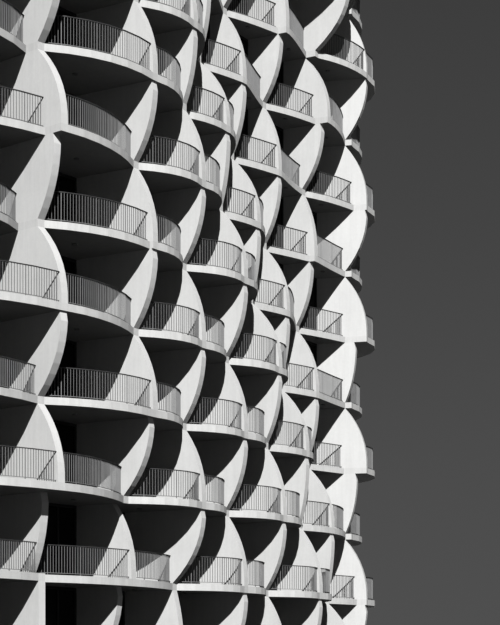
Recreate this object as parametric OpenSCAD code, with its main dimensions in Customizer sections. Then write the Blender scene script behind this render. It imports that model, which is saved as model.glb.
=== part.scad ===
// Apartment tower: floor slabs with scalloped balcony edges, carried on
// vertical concrete fins whose outer edges swell at every second floor.
// Neighbouring fins swell at alternate floors, so the balconies interlock.
// Millimetres, +Z up, origin at ground level in the middle of the plan.

/* [Storeys] */
// Height from one floor to the next
storey_h = 3000; // [2800:50:3100]
// Top of the first balcony floor above the ground
first_floor_z = 3300; // [3100:50:3500]
// Thickness of a floor slab
slab_t = 260; // [200:10:320]
// Height of the upstand round the roof
parapet_h = 1000; // [600:50:1200]

/* [Plan] */
// Width of a regular bay, fin to fin
bay_w = 3200; // [3000:50:3400]
// Width of the three wide bays near the corners
wide_bay_w = 4300; // [3900:50:4700]
// Depth of the building between its two long walls
depth = 15000; // [13000:500:17000]
// Turn of the first wide bay at the left
turn_a = 6; // [0:1:10]
// Turn of the outer wide bay at the left
turn_z = 20; // [12:1:24]
// Turn of the wide bay at the right
turn_i = 28; // [20:1:34]

/* [Fins] */
// Thickness of a fin
fin_t = 300; // [240:10:360]
// How far a fin runs inside the wall line as a pier
pier_d = 350; // [250:10:450]
// Middle reach of the swelling beyond the wall line
reach_mid = 2670; // [2450:10:2750]
// How much the reach rises and falls up the tower
reach_wave = 1300; // [900:50:1350]
// Largest reach
reach_max = 3320; // [3000:20:3400]
// How much narrower a fin is at the floors between
pinch = 860; // [600:10:900]
// How much narrower the last fin at the right is at those floors
pinch_h = 1000; // [900:10:1150]
// Chamfer at the head of a fin, under each floor where it swells
notch = 80; // [40:10:120]
// Sharpness of the swelling
swell = 2.3; // [1.8:0.1:3]

/* [Balconies] */
// How far a balcony's edge draws back beside the fin at its narrow end
dip = 900; // [700:50:1000]
// Extra bow of the balcony at the right-hand corner
bow = 750; // [500:50:1000]
// Share by which the deep balconies bow out and the shallow ones in
bow_gain = 0.2; // [0:0.05:0.3]
// Roundness in plan of the balcony edges that start wide at their left end
round_wide = 1.5; // [1.2:0.1:2.2]
// Roundness in plan of the balcony edges that start narrow at their left end
round_narrow = 2.2; // [1.6:0.1:2.8]
// Height of a balustrade
rail_h = 1050; // [900:10:1200]
// Distance of the balustrade inside the slab edge
rail_in = 100; // [60:10:150]
// Thickness of the balustrade
rail_t = 30; // [20:2:50]

/* [Hidden] */

floors = 11;                 // floors with balconies, below the roof
nfin = 24;                   // fins round the plan
base_z = first_floor_z - storey_h;
roof_z = first_floor_z + floors * storey_h;
top_z = roof_z + parapet_h;
facets = 6;                  // straight lengths in one balcony edge
steps = 8;                   // straight lengths in a fin's edge a storey

// ---- plan points, anticlockwise from the left corner of the front ----
half_x = (wide_bay_w * (cos(turn_z) + cos(turn_a) + cos(turn_i)) + 6 * bay_w) / 2;
front_y = -depth / 2;
pa = [-half_x + wide_bay_w * cos(turn_z), front_y + wide_bay_w * sin(turn_a)];
pz = [-half_x, pa[1] + wide_bay_w * sin(turn_z)];
pb = [pa[0] + wide_bay_w * cos(turn_a), front_y];
pi_ = [half_x, front_y + wide_bay_w * sin(turn_i)];
half_plan = concat([pz, pa],
                   [for (j = [0:6]) [pb[0] + j * bay_w, front_y]],
                   [pi_],
                   [for (j = [1, 2]) pi_ + (-pz - pi_) * j / 3]);
plan = concat(half_plan, [for (p = half_plan) -p]);

function unit(v) = v / norm(v);
function side_n(i) = let (d = unit(plan[(i + 1) % nfin] - plan[i % nfin])) [d[1], -d[0]];
dirs = [for (i = [0:nfin - 1]) unit(side_n(i) + side_n(i + nfin - 1))];
function tang(i) = [-dirs[i][1], dirs[i][0]];

// ---- reach of a fin and of the slab at one level ----
function kk(i) = i % 12 - 1;
function swells(i, l) = (kk(i) + l + 20) % 2 == 0;
function start(k) = k >= 2 ? 0.95 + 1.84 * (k - 5) : -5.6 + 0.6 * (1 - k);
function wave(k, l) = min(reach_max, reach_mid - reach_wave * cos(360 * (8 - l - start(k)) / 16));
function big(i, l) = let (k = kk(i))
    k == 7 ? 2200 : k == 8 ? 1200 : k > 8 ? 2050 :
    k == 1 && l <= 1 ? min(2450, wave(k, l)) :
    k == 2 && l <= 1 ? min(2900, wave(k, l)) : wave(k, l);
function drop(i, l) = let (k = kk(i))
    k == 0 ? (l <= 1 ? 500 : 1200) : k == 7 ? pinch_h : k == 8 ? 500 :
    k == 6 && l == 9 ? 1100 : pinch;
function reach(i, l) = big(i, l) - (swells(i, l) ? 0 : drop(i, l));
function level_z(l) = l < 0 ? base_z : first_floor_z + l * storey_h;

// Slab edge at the right and left face of a fin. At a fin's narrow floors the
// balcony on the right draws back beside it, the corner balcony passes it, and
// in places the balcony on the left stops short of the fin's edge.
function slab_right(i, l) = l < 0 ? 0 : swells(i, l) || (kk(i) == 6 && l == 9) ? reach(i, l) :
    kk(i) == 7 ? reach(i, l) + 300 :
    max(200, min(reach(i, l), slab_left((i + 1) % nfin, l) - dip));
function short_of(i, l) = let (k = kk(i))
    k == 7 ? (l == 1 ? 450 : l == 3 ? 1050 : l == 5 ? 1000 : l == 7 ? 600 : 0) :
    k == 6 ? (l == 9 ? 450 : l == 8 ? 600 : l == 6 ? 250 : 0) :
    k == 5 ? (l == 9 ? 400 : 0) :
    k == 1 ? (l == 5 ? 150 : 0) :
    k == 0 ? (l == 7 ? 600 : l == 6 ? 800 : l == 5 ? 1000 : 0) : 0;
function slab_left(i, l) = l < 0 ? 0 : max(200, reach(i, l) - short_of(i, l));
function slab_at(i, l) = max(slab_right(i, l), slab_left(i, l));

// How far a fin stands back under the slab above it and over the slab below,
// in the storey over level l
function back_top(i, l) = let (k = kk(i))
    k == 0 ? (l == 1 ? 820 : l == 5 ? 350 : 0) :
    k == 1 ? (l == 0 ? 600 : l == 1 ? 500 : l == 2 ? 150 : 0) :
    k == 5 ? (l == 8 ? 300 : 0) :
    k == 6 ? (l == 5 ? 180 : l == 7 ? 300 : l == 8 ? 500 : 0) :
    k == 7 ? (l == 2 ? 450 : l == 4 ? 500 : 0) : 0;
function back_low(i, l) = let (k = kk(i)) k == 0 && l == 1 ? 500 : k == 1 && l == 0 ? 300 : 0;

// Fin edge between two levels, full at the floor where it swells
function fin_reach(i, l, f) = let (a = reach(i, l) - back_low(i, l),
        b = reach(i, l + 1) - back_top(i, l))
    swells(i, l) ? a + (b - a) * pow(f, swell) : b + (a - b) * pow(1 - f, swell);
// Balcony edge across bay i, from fin i (s = 0) to fin i + 1 (s = 1),
// moved inwards by d
function bay_point(i, l, s, d) = let (j = (i + 1) % nfin,
        a = plan[i] + tang(i) * fin_t / 2, b = plan[j] - tang(j) * fin_t / 2,
        ra = slab_right(i, l), rb = slab_left(j, l),
        r = l < 0 ? 0 : swells(i, l) ? ra + (rb - ra) * pow(s, round_wide)
                                     : rb + (ra - rb) * pow(1 - s, round_narrow),
        w = l < 0 ? 0 : 4 * s * (1 - s) * ((kk(i) == 7 ? bow : 0) + bow_gain * ((ra + rb) / 2 - 1700)),
        n = unit(dirs[i] * (1 - s) + dirs[j] * s))
    a * (1 - s) + b * s + n * (r + w - d);
function bay_edge(i, l, d) = [for (q = [0:facets]) bay_point(i, l, q / facets, d)];
// The slab's step across a fin, where one side stops short
function step_at(i, l) = let (b = slab_at(i, l), h = tang(i) * fin_t / 2)
    concat(b - slab_left(i, l) > 1 ? [plan[i] - h + dirs[i] * b] : [],
           b - slab_right(i, l) > 1 ? [plan[i] + h + dirs[i] * b] : []);

// ---- shapes ----
module slab(l) {
    translate([0, 0, level_z(l) - (l < 0 ? base_z : slab_t)])
        linear_extrude(l < 0 ? base_z : slab_t)
            polygon([for (i = [0:nfin - 1]) each concat(step_at(i, l), bay_edge(i, l, 0))]);
}

// One storey of a fin, standing on level l: from the top of that slab to the
// underside of the next, or to the top of the parapet
module fin_storey(i, l) {
    roof = l == floors;
    z0 = l < 0 ? 0 : level_z(l);
    z1 = roof ? top_z : level_z(l + 1) - slab_t;
    n = roof ? 3 : steps;
    f1 = roof ? 0.42 : 1;
    head = !roof && swells(i, l + 1) ? notch : 0;
    outer = [for (q = [0:n])
                [fin_reach(i, l, f1 * q / n) - (q == n ? head : 0), z0 + (z1 - z0) * q / n]];
    foot = l < 0 ? [[-pier_d, base_z], [0, base_z], [0, 0]] : [[-pier_d, z0]];
    linear_extrude(fin_t, center = true) polygon(concat(outer, [[-pier_d, z1]], foot));
}
module fin(i) {
    translate(plan[i])
        rotate([90, 0, atan2(dirs[i][1], dirs[i][0])])
            for (l = [-1:floors]) fin_storey(i, l);
}

// Balustrades of one floor, one length from fin to fin in each bay
module balustrade(l) {
    for (i = [0:nfin - 1])
        translate([0, 0, level_z(l)])
            linear_extrude(rail_h)
                polygon(concat(bay_edge(i, l, rail_in),
                               [for (q = [facets:-1:0]) bay_point(i, l, q / facets, rail_in + rail_t)]));
}

// Upstand round the roof, one length between each pair of fins
module parapet() {
    color("gainsboro")
        for (i = [0:nfin - 1]) {
            j = (i + 1) % nfin;
            a = plan[i] + tang(i) * fin_t / 2;
            b = plan[j] - tang(j) * fin_t / 2;
            translate([0, 0, roof_z])
                linear_extrude(parapet_h - 80)
                    polygon([a, b, b - dirs[j] * 200, a - dirs[i] * 200]);
        }
}

module ground_slab() { color("silver") slab(-1); }
module floor_slab_01() { color("gainsboro") slab(0); }
module floor_slab_02() { color("gainsboro") slab(1); }
module floor_slab_03() { color("gainsboro") slab(2); }
module floor_slab_04() { color("gainsboro") slab(3); }
module floor_slab_05() { color("gainsboro") slab(4); }
module floor_slab_06() { color("gainsboro") slab(5); }
module floor_slab_07() { color("gainsboro") slab(6); }
module floor_slab_08() { color("gainsboro") slab(7); }
module floor_slab_09() { color("gainsboro") slab(8); }
module floor_slab_10() { color("gainsboro") slab(9); }
module floor_slab_11() { color("gainsboro") slab(10); }
module roof_slab() { color("gainsboro") slab(floors); }
module front_fin_01() { color("whitesmoke") fin(0); }
module front_fin_02() { color("whitesmoke") fin(1); }
module front_fin_03() { color("whitesmoke") fin(2); }
module front_fin_04() { color("whitesmoke") fin(3); }
module front_fin_05() { color("whitesmoke") fin(4); }
module front_fin_06() { color("whitesmoke") fin(5); }
module front_fin_07() { color("whitesmoke") fin(6); }
module front_fin_08() { color("whitesmoke") fin(7); }
module front_fin_09() { color("whitesmoke") fin(8); }
module front_fin_10() { color("whitesmoke") fin(9); }
module right_end_fins() { color("whitesmoke") for (i = [10, 11]) fin(i); }
module back_fins() { color("whitesmoke") for (i = [12:21]) fin(i); }
module left_end_fins() { color("whitesmoke") for (i = [22, 23]) fin(i); }
module balustrade_01() { color("dimgray") balustrade(0); }
module balustrade_02() { color("dimgray") balustrade(1); }
module balustrade_03() { color("dimgray") balustrade(2); }
module balustrade_04() { color("dimgray") balustrade(3); }
module balustrade_05() { color("dimgray") balustrade(4); }
module balustrade_06() { color("dimgray") balustrade(5); }
module balustrade_07() { color("dimgray") balustrade(6); }
module balustrade_08() { color("dimgray") balustrade(7); }
module balustrade_09() { color("dimgray") balustrade(8); }
module balustrade_10() { color("dimgray") balustrade(9); }
module balustrade_11() { color("dimgray") balustrade(10); }

ground_slab();
floor_slab_01();
floor_slab_02();
floor_slab_03();
floor_slab_04();
floor_slab_05();
floor_slab_06();
floor_slab_07();
floor_slab_08();
floor_slab_09();
floor_slab_10();
floor_slab_11();
roof_slab();
front_fin_01();
front_fin_02();
front_fin_03();
front_fin_04();
front_fin_05();
front_fin_06();
front_fin_07();
front_fin_08();
front_fin_09();
front_fin_10();
right_end_fins();
back_fins();
left_end_fins();
balustrade_01();
balustrade_02();
balustrade_03();
balustrade_04();
balustrade_05();
balustrade_06();
balustrade_07();
balustrade_08();
balustrade_09();
balustrade_10();
balustrade_11();
parapet();
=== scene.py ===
import math
import random
import bpy
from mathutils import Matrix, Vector


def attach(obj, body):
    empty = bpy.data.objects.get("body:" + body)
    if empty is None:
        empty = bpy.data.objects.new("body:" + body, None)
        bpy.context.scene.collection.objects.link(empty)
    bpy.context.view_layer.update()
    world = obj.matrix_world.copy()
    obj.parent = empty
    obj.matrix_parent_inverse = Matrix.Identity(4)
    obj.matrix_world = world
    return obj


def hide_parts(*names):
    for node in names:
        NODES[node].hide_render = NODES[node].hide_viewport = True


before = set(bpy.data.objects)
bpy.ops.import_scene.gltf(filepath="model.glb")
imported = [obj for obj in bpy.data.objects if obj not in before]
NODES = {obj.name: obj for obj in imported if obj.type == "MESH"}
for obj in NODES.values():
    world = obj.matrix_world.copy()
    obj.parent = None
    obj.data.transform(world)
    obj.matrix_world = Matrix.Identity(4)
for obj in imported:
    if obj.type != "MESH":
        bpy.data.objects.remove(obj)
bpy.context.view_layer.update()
scene = bpy.context.scene

# ------------------------------------------------------------------ plan
# The same rules as the construction's source, in metres.
STOREY, FIRST, SLAB, PARAPET = 3.0, 3.3, 0.26, 1.0
BAY, WIDE, DEPTH = 3.2, 4.3, 15.0
TURN_A, TURN_Z, TURN_I = (math.radians(a) for a in (6, 20, 28))
FIN_T, PIER_D = 0.30, 0.35
R_MID, R_WAVE, R_MAX, PINCH, PINCH_H = 2.67, 1.30, 3.32, 0.86, 1.0
DIP, BOW, BOW_GAIN, ROUND_WIDE, ROUND_NARROW = 0.9, 0.75, 0.2, 1.5, 2.2
RAIL_H, RAIL_IN = 1.05, 0.10
FLOORS, NFIN, FACETS = 11, 24, 6
ROOF_Z = FIRST + FLOORS * STOREY


def v2(x, y):
    return Vector((x, y))


half_x = (WIDE * (math.cos(TURN_Z) + math.cos(TURN_A) + math.cos(TURN_I)) + 6 * BAY) / 2
front_y = -DEPTH / 2
pa = v2(-half_x + WIDE * math.cos(TURN_Z), front_y + WIDE * math.sin(TURN_A))
pz = v2(-half_x, pa.y + WIDE * math.sin(TURN_Z))
pb = v2(pa.x + WIDE * math.cos(TURN_A), front_y)
pi_ = v2(half_x, front_y + WIDE * math.sin(TURN_I))
half = [pz, pa] + [v2(pb.x + j * BAY, front_y) for j in range(7)] + [pi_]
half += [pi_ + (-pz - pi_) * (j / 3) for j in (1, 2)]
PLAN = half + [-p for p in half]


def side_n(i):
    d = (PLAN[(i + 1) % NFIN] - PLAN[i % NFIN]).normalized()
    return v2(d.y, -d.x)


DIRS = [(side_n(i) + side_n(i - 1)).normalized() for i in range(NFIN)]
TANG = [v2(-d.y, d.x) for d in DIRS]


def kk(i):
    return i % 12 - 1


def swells(i, l):
    return (kk(i) + l) % 2 == 0


def wave(k, l):
    st = 0.95 + 1.84 * (k - 5) if k >= 2 else -5.6 + 0.6 * (1 - k)
    return min(R_MAX, R_MID - R_WAVE * math.cos(2 * math.pi * (8 - l - st) / 16))


def big(i, l):
    k = kk(i)
    if k == 7:
        return 2.2
    if k == 8:
        return 1.2
    if k > 8:
        return 2.05
    if k == 1 and l <= 1:
        return min(2.45, wave(k, l))
    if k == 2 and l <= 1:
        return min(2.9, wave(k, l))
    return wave(k, l)


def drop(i, l):
    k = kk(i)
    if k == 0:
        return 0.5 if l <= 1 else 1.2
    return PINCH_H if k == 7 else 0.5 if k == 8 else 1.1 if k == 6 and l == 9 else PINCH


def reach(i, l):
    return big(i, l) - (0 if swells(i, l) else drop(i, l))


def slab_right(i, l):
    if swells(i, l) or (kk(i) == 6 and l == 9):
        return reach(i, l)
    if kk(i) == 7:
        return reach(i, l) + 0.3
    return max(0.2, min(reach(i, l), slab_left((i + 1) % NFIN, l) - DIP))


SHORT = {(7, 1): 0.45, (7, 3): 1.05, (7, 5): 1.0, (7, 7): 0.6, (6, 9): 0.45, (6, 8): 0.6, (6, 6): 0.25,
         (5, 9): 0.4, (1, 5): 0.15, (0, 7): 0.6, (0, 6): 0.8, (0, 5): 1.0}


def slab_left(i, l):
    return max(0.2, reach(i, l) - SHORT.get((kk(i), l), 0))


def bay_point(i, l, s, d):
    j = (i + 1) % NFIN
    a = PLAN[i] + TANG[i] * FIN_T / 2
    b = PLAN[j] - TANG[j] * FIN_T / 2
    ra, rb = slab_right(i, l), slab_left(j, l)
    r = ra + (rb - ra) * s ** ROUND_WIDE if swells(i, l) else rb + (ra - rb) * (1 - s) ** ROUND_NARROW
    r += 4 * s * (1 - s) * ((BOW if kk(i) == 7 else 0) + BOW_GAIN * ((ra + rb) / 2 - 1.7))
    n = (DIRS[i] * (1 - s) + DIRS[j] * s).normalized()
    return a * (1 - s) + b * s + n * (r - d)


def wall_point(i, s, w):
    """A point on the wall line of bay i, w metres outside it."""
    j = (i + 1) % NFIN
    a = PLAN[i] + TANG[i] * FIN_T / 2 + DIRS[i] * w
    b = PLAN[j] - TANG[j] * FIN_T / 2 + DIRS[j] * w
    return a * (1 - s) + b * s


def level_z(l):
    return FIRST + l * STOREY


# ------------------------------------------------------------- mesh helpers
class Mesh:
    def __init__(self):
        self.v, self.f = [], []

    def box(self, p, ax, ay, az):
        """A box with one corner set at p, the middle of its base, and three half/whole axes."""
        b = len(self.v)
        for sz in (0, 1):
            for sx, sy in ((-1, -1), (1, -1), (1, 1), (-1, 1)):
                self.v.append(tuple(p + ax * sx + ay * sy + az * sz))
        for q in ((3, 2, 1, 0), (4, 5, 6, 7), (0, 1, 5, 4), (1, 2, 6, 5), (2, 3, 7, 6), (3, 0, 4, 7)):
            self.f.append(tuple(b + k for k in q))

    def sweep(self, pts, w, h, up=Vector((0, 0, 1)), z0=0.0):
        """A rectangular bar w wide and h high along level points."""
        b = len(self.v)
        n = len(pts)
        for k, p in enumerate(pts):
            d0 = (pts[k] - pts[k - 1]).normalized() if k else (pts[1] - pts[0]).normalized()
            d1 = (pts[k + 1] - pts[k]).normalized() if k < n - 1 else d0
            d = (d0 + d1).normalized()
            c = max(0.5, d.dot(d1))
            s = Vector((d.y, -d.x, 0)) * (w / 2 / c)
            for q in (p - s, p + s, p + s + up * h, p - s + up * h):
                self.v.append(tuple(q + up * z0))
        for k in range(n - 1):
            for e in range(4):
                self.f.append((b + 4 * k + e, b + 4 * k + (e + 1) % 4,
                               b + 4 * k + 4 + (e + 1) % 4, b + 4 * k + 4 + e))
        self.f.append((b, b + 3, b + 2, b + 1))
        self.f.append((b + 4 * n - 4, b + 4 * n - 3, b + 4 * n - 2, b + 4 * n - 1))

    def disc(self, c, r, h, seg=16):
        """A short round drum hanging down h from c."""
        b = len(self.v)
        for z in (0, -h):
            for k in range(seg):
                a = 2 * math.pi * k / seg
                self.v.append((c.x + r * math.cos(a), c.y + r * math.sin(a), c.z + z))
        self.f.append(tuple(b + k for k in range(seg)))
        self.f.append(tuple(b + seg + k for k in reversed(range(seg))))
        for k in range(seg):
            m = (k + 1) % seg
            self.f.append((b + seg + k, b + seg + m, b + m, b + k))

    def make(self, name, mat, slot):
        me = bpy.data.meshes.new(name)
        me.from_pydata(self.v, [], self.f)
        me.materials.append(mat)
        me.update()
        ob = bpy.data.objects.new(name, me)
        scene.collection.objects.link(ob)
        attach(ob, "root")
        return ob


# ---------------------------------------------------------------- materials
def new_mat(name):
    m = bpy.data.materials.new(name)
    m.use_nodes = True
    nt = m.node_tree
    return m, nt, nt.nodes["Principled BSDF"]


def noise(nt, scale, detail=4, rough=0.6, vec=None, squash=None):
    n = nt.nodes.new("ShaderNodeTexNoise")
    n.inputs["Scale"].default_value = scale
    n.inputs["Detail"].default_value = detail
    n.inputs["Roughness"].default_value = rough
    src = vec
    if src is None:
        g = nt.nodes.new("ShaderNodeNewGeometry")
        src = g.outputs["Position"]
    if squash:
        mp = nt.nodes.new("ShaderNodeMapping")
        mp.inputs["Scale"].default_value = squash
        nt.links.new(src, mp.inputs["Vector"])
        src = mp.outputs["Vector"]
    nt.links.new(src, n.inputs["Vector"])
    return n.outputs["Fac"]


def ramp(nt, fac, stops):
    r = nt.nodes.new("ShaderNodeValToRGB")
    while len(r.color_ramp.elements) < len(stops):
        r.color_ramp.elements.new(0.5)
    for e, (p, c) in zip(r.color_ramp.elements, stops):
        e.position = p
        e.color = (c, c, c, 1) if isinstance(c, float) else (*c, 1)
    nt.links.new(fac, r.inputs["Fac"])
    return r.outputs["Color"]


def mul(nt, a, b):
    m = nt.nodes.new("ShaderNodeMix")
    m.data_type = "RGBA"
    m.blend_type = "MULTIPLY"
    m.inputs["Factor"].default_value = 1.0
    nt.links.new(a, m.inputs["A"])
    nt.links.new(b, m.inputs["B"])
    return m.outputs["Result"]


def concrete(name, base, rough=0.75, streak=0.08, bump=0.25, painted_soffit_shade=1.0):
    m, nt, bs = new_mat(name)
    lo = tuple(c * 0.94 for c in base)
    hi = tuple(min(1.0, c * 1.03) for c in base)
    col = ramp(nt, noise(nt, 0.7, 5), [(0.3, lo), (0.7, hi)])
    fine = ramp(nt, noise(nt, 9.0, 6, 0.7), [(0.35, 0.955), (0.65, 1.0)])
    runs = ramp(nt, noise(nt, 1.0, 5, 0.65, squash=(5.0, 5.0, 0.35)), [(0.38, 1 - streak), (0.62, 1.0)])
    out = mul(nt, mul(nt, col, fine), runs)
    if painted_soffit_shade < 1:
        # painted shade: undersides are darker than edges and tops, so the shade under the slabs reads
        # deeper
        g = nt.nodes.new("ShaderNodeNewGeometry")
        xyz = nt.nodes.new("ShaderNodeSeparateXYZ")
        nt.links.new(g.outputs["True Normal"], xyz.inputs["Vector"])
        down = nt.nodes.new("ShaderNodeMath")
        down.operation = "MULTIPLY"
        down.inputs[1].default_value = -1.0
        nt.links.new(xyz.outputs["Z"], down.inputs[0])
        out = mul(nt, out, ramp(nt, down.outputs["Value"], [(0.3, 1.0), (0.7, painted_soffit_shade)]))
    nt.links.new(out, bs.inputs["Base Color"])
    bs.inputs["Roughness"].default_value = rough
    b = nt.nodes.new("ShaderNodeBump")
    b.inputs["Strength"].default_value = bump
    b.inputs["Distance"].default_value = 0.01
    nt.links.new(noise(nt, 30.0, 5, 0.6), b.inputs["Height"])
    nt.links.new(b.outputs["Normal"], bs.inputs["Normal"])
    return m


FIN = concrete("fin_concrete", (0.71, 0.71, 0.70), 0.7, 0.05)
# the slab material paints shade on its downward faces, darkening them to 0.60 of the concrete colour
SLABM = concrete("slab_concrete", (0.68, 0.68, 0.67), 0.75, 0.09, painted_soffit_shade=0.60)
ROOFM = concrete("roof_concrete", (0.52, 0.52, 0.51), 0.8, 0.12)

BAR, nt, bs = new_mat("rail_bars")
nt.links.new(ramp(nt, noise(nt, 3.0, 4), [(0.3, 0.19), (0.7, 0.23)]), bs.inputs["Base Color"])
bs.inputs["Roughness"].default_value = 0.45
bs.inputs["Metallic"].default_value = 0.0
RAIL, nt, bs = new_mat("hand_rail")
nt.links.new(ramp(nt, noise(nt, 4.0, 4), [(0.3, 0.035), (0.7, 0.06)]), bs.inputs["Base Color"])
bs.inputs["Roughness"].default_value = 0.4
FRAME_M, nt, bs = new_mat("window_frame")
nt.links.new(ramp(nt, noise(nt, 5.0, 4), [(0.3, 0.03), (0.7, 0.05)]), bs.inputs["Base Color"])
bs.inputs["Roughness"].default_value = 0.5
# painted shade: the glass is opaque and near-black, standing in for the unlit rooms behind it; its gloss
# still gives real reflections
GLASS_PAINTED_SHADE, nt, bs = new_mat("window_glass")
nt.links.new(ramp(nt, noise(nt, 0.8, 2), [(0.3, 0.004), (0.7, 0.008)]), bs.inputs["Base Color"])
bs.inputs["Roughness"].default_value = 0.06
bs.inputs["IOR"].default_value = 1.45
LAMP, nt, bs = new_mat("ceiling_lamp")
nt.links.new(ramp(nt, noise(nt, 6.0, 3), [(0.3, 0.20), (0.7, 0.26)]), bs.inputs["Base Color"])
bs.inputs["Roughness"].default_value = 0.5

for n, ob in NODES.items():
    mat = FIN if "fin" in n else ROOFM if n == "parapet" else BAR if n.startswith("balus") else SLABM
    ob.data.materials.clear()
    ob.data.materials.append(mat)

# ------------------------------------------------------------- balustrades
Z = Vector((0, 0, 1))


def to3(p, z):
    return Vector((p.x, p.y, z))


def along(i, l, d, gap=0.0):
    """The rail line of one bay as points in space."""
    z = level_z(l)
    pts = [to3(bay_point(i, l, q / FACETS, d), z) for q in range(FACETS + 1)]
    return pts


def at(pts, t):
    """Point and direction t metres along a polyline."""
    for a, b in zip(pts, pts[1:]):
        L = (b - a).length
        if t <= L or b is pts[-1]:
            return a + (b - a) * min(1.0, t / L), (b - a).normalized()
        t -= L


for l in range(FLOORS):
    bars, hand = Mesh(), Mesh()
    for i in range(NFIN):
        pts = along(i, l, RAIL_IN + 0.015)
        L = sum((b - a).length for a, b in zip(pts, pts[1:]))
        n = max(2, round(L / 0.11))
        for k in range(1, n):
            p, d = at(pts, L * k / n)
            s = Vector((d.y, -d.x, 0))
            post = k % 12 == 6
            bars.box(p + Z * (0.0 if post else 0.07), d * (0.012 if post else 0.006),
                     s * 0.013, Z * (RAIL_H - 0.03 - (0.0 if post else 0.07)))
        bars.sweep(pts, 0.03, 0.02, z0=0.06)
        hand.sweep(pts, 0.055, 0.03, z0=RAIL_H - 0.03)
    b = bars.make("rail_bars_%02d" % (l + 1), BAR, "rail_metal")
    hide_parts("balustrade_%02d" % (l + 1))
    hand.make("hand_rail_%02d" % (l + 1), RAIL, "hand_rail")

# ----------------------------------------------------------------- windows
for l in range(-1, FLOORS):
    z0 = 0.30 if l < 0 else level_z(l)
    z1 = level_z(l + 1) - SLAB
    fr, gl = Mesh(), Mesh()
    for i in range(NFIN):
        a, b = to3(wall_point(i, 0, -0.16), z0), to3(wall_point(i, 1, -0.16), z0)
        L = (b - a).length
        d = (b - a).normalized()
        s = Vector((d.y, -d.x, 0))
        mid = (a + b) / 2
        fr.box(mid, d * L / 2, s * 0.045, Z * 0.08)
        fr.box(mid + Z * (z1 - z0 - 0.10), d * L / 2, s * 0.045, Z * 0.10)
        m = 3 if L < 3.5 else 4
        for k in range(m + 1):
            w = 0.035
            c = a + d * min(max(L * k / m, w), L - w)
            fr.box(c + Z * 0.08, d * w, s * (0.045 if k in (0, m) else 0.035), Z * (z1 - z0 - 0.18))
        gl.box(mid + Z * 0.05 - s * 0.004, d * (L / 2 - 0.02), s * 0.008, Z * (z1 - z0 - 0.12))
    fr.make("window_frames_%02d" % (l + 1), FRAME_M, "window_frame")
    gl.make("window_glass_%02d" % (l + 1), GLASS_PAINTED_SHADE, "window_glass")

# ------------------------------------------------------------ ceiling lamps
lm = Mesh()
for l in range(0, FLOORS + 1):
    for i in range(NFIN):
        r = (slab_right(i, l) + slab_left((i + 1) % NFIN, l)) / 2
        lm.disc(to3(wall_point(i, 0.53, 0.25 + 0.45 * r), level_z(l) - SLAB), 0.10, 0.05)
lm.make("ceiling_lamps", LAMP, "rail_metal")

# ------------------------------------------------------------ camera, light
cam = bpy.data.cameras.new("cam")
cam.sensor_fit = "AUTO"
cam.sensor_width = 36
cam.lens = 1800 / 625 * 36
cam.shift_x = 0.0
cam.shift_y = (675 - 312.5) / 625
cam.clip_end = 2000
co = bpy.data.objects.new("cam", cam)
scene.collection.objects.link(co)
co.location = (pb.x - 54.5, front_y - 37.66, 2.85)
co.rotation_euler = (math.radians(90), 0, math.radians(-60.7))
scene.camera = co



def sun_lamp(name, energy, travel, angle, bounces):
    """A sun whose light is passed on by at most so many surfaces."""
    lamp = bpy.data.lights.new(name, "SUN")
    lamp.energy = energy
    lamp.angle = math.radians(angle)
    lamp.cycles.max_bounces = bounces
    ob = bpy.data.objects.new(name, lamp)
    scene.collection.objects.link(ob)
    ob.rotation_euler = Vector(travel).to_track_quat("-Z", "Y").to_euler()


# hard sun from the front left; most of it isn't passed on, so that shade stays deep
sun_lamp("sun", 4.8, (1.0, 0.68, -0.82), 0.6, 0)
sun_lamp("sun_soft", 0.20, (1.0, 0.68, -0.82), 0.6, 6)
# weak fill from behind and the right, for the sides that the sun doesn't reach
sun_lamp("fill", 1.15, (-1.0, -0.7, -0.8), 12.0, 1)

world = bpy.data.worlds.new("world")
scene.world = world
world.use_nodes = True
nt = world.node_tree
way = nt.nodes.new("ShaderNodeTexCoord")
part = nt.nodes.new("ShaderNodeSeparateXYZ")
nt.links.new(way.outputs["Generated"], part.inputs["Vector"])
sky = ramp(nt, part.outputs["Z"], [(0.0, 0.080), (0.12, 0.071), (0.24, 0.057), (0.36, 0.046), (1.0, 0.044)])
nt.links.new(sky, nt.nodes["Background"].inputs["Color"])
nt.nodes["Background"].inputs["Strength"].default_value = 1.0
scene.view_settings.view_transform = "Standard"

fl = bpy.data.meshes.new("floor")
fl.from_pydata([(-60, -60, 0), (60, -60, 0), (60, 60, 0), (-60, 60, 0)], [], [(0, 1, 2, 3)])
fo = bpy.data.objects.new("floor", fl)
scene.collection.objects.link(fo)
FLOOR, nt, bs = new_mat("floor")
nt.links.new(ramp(nt, noise(nt, 0.2, 2), [(0.3, 0.36), (0.7, 0.40)]), bs.inputs["Base Color"])
bs.inputs["Roughness"].default_value = 0.9
fl.materials.append(FLOOR)
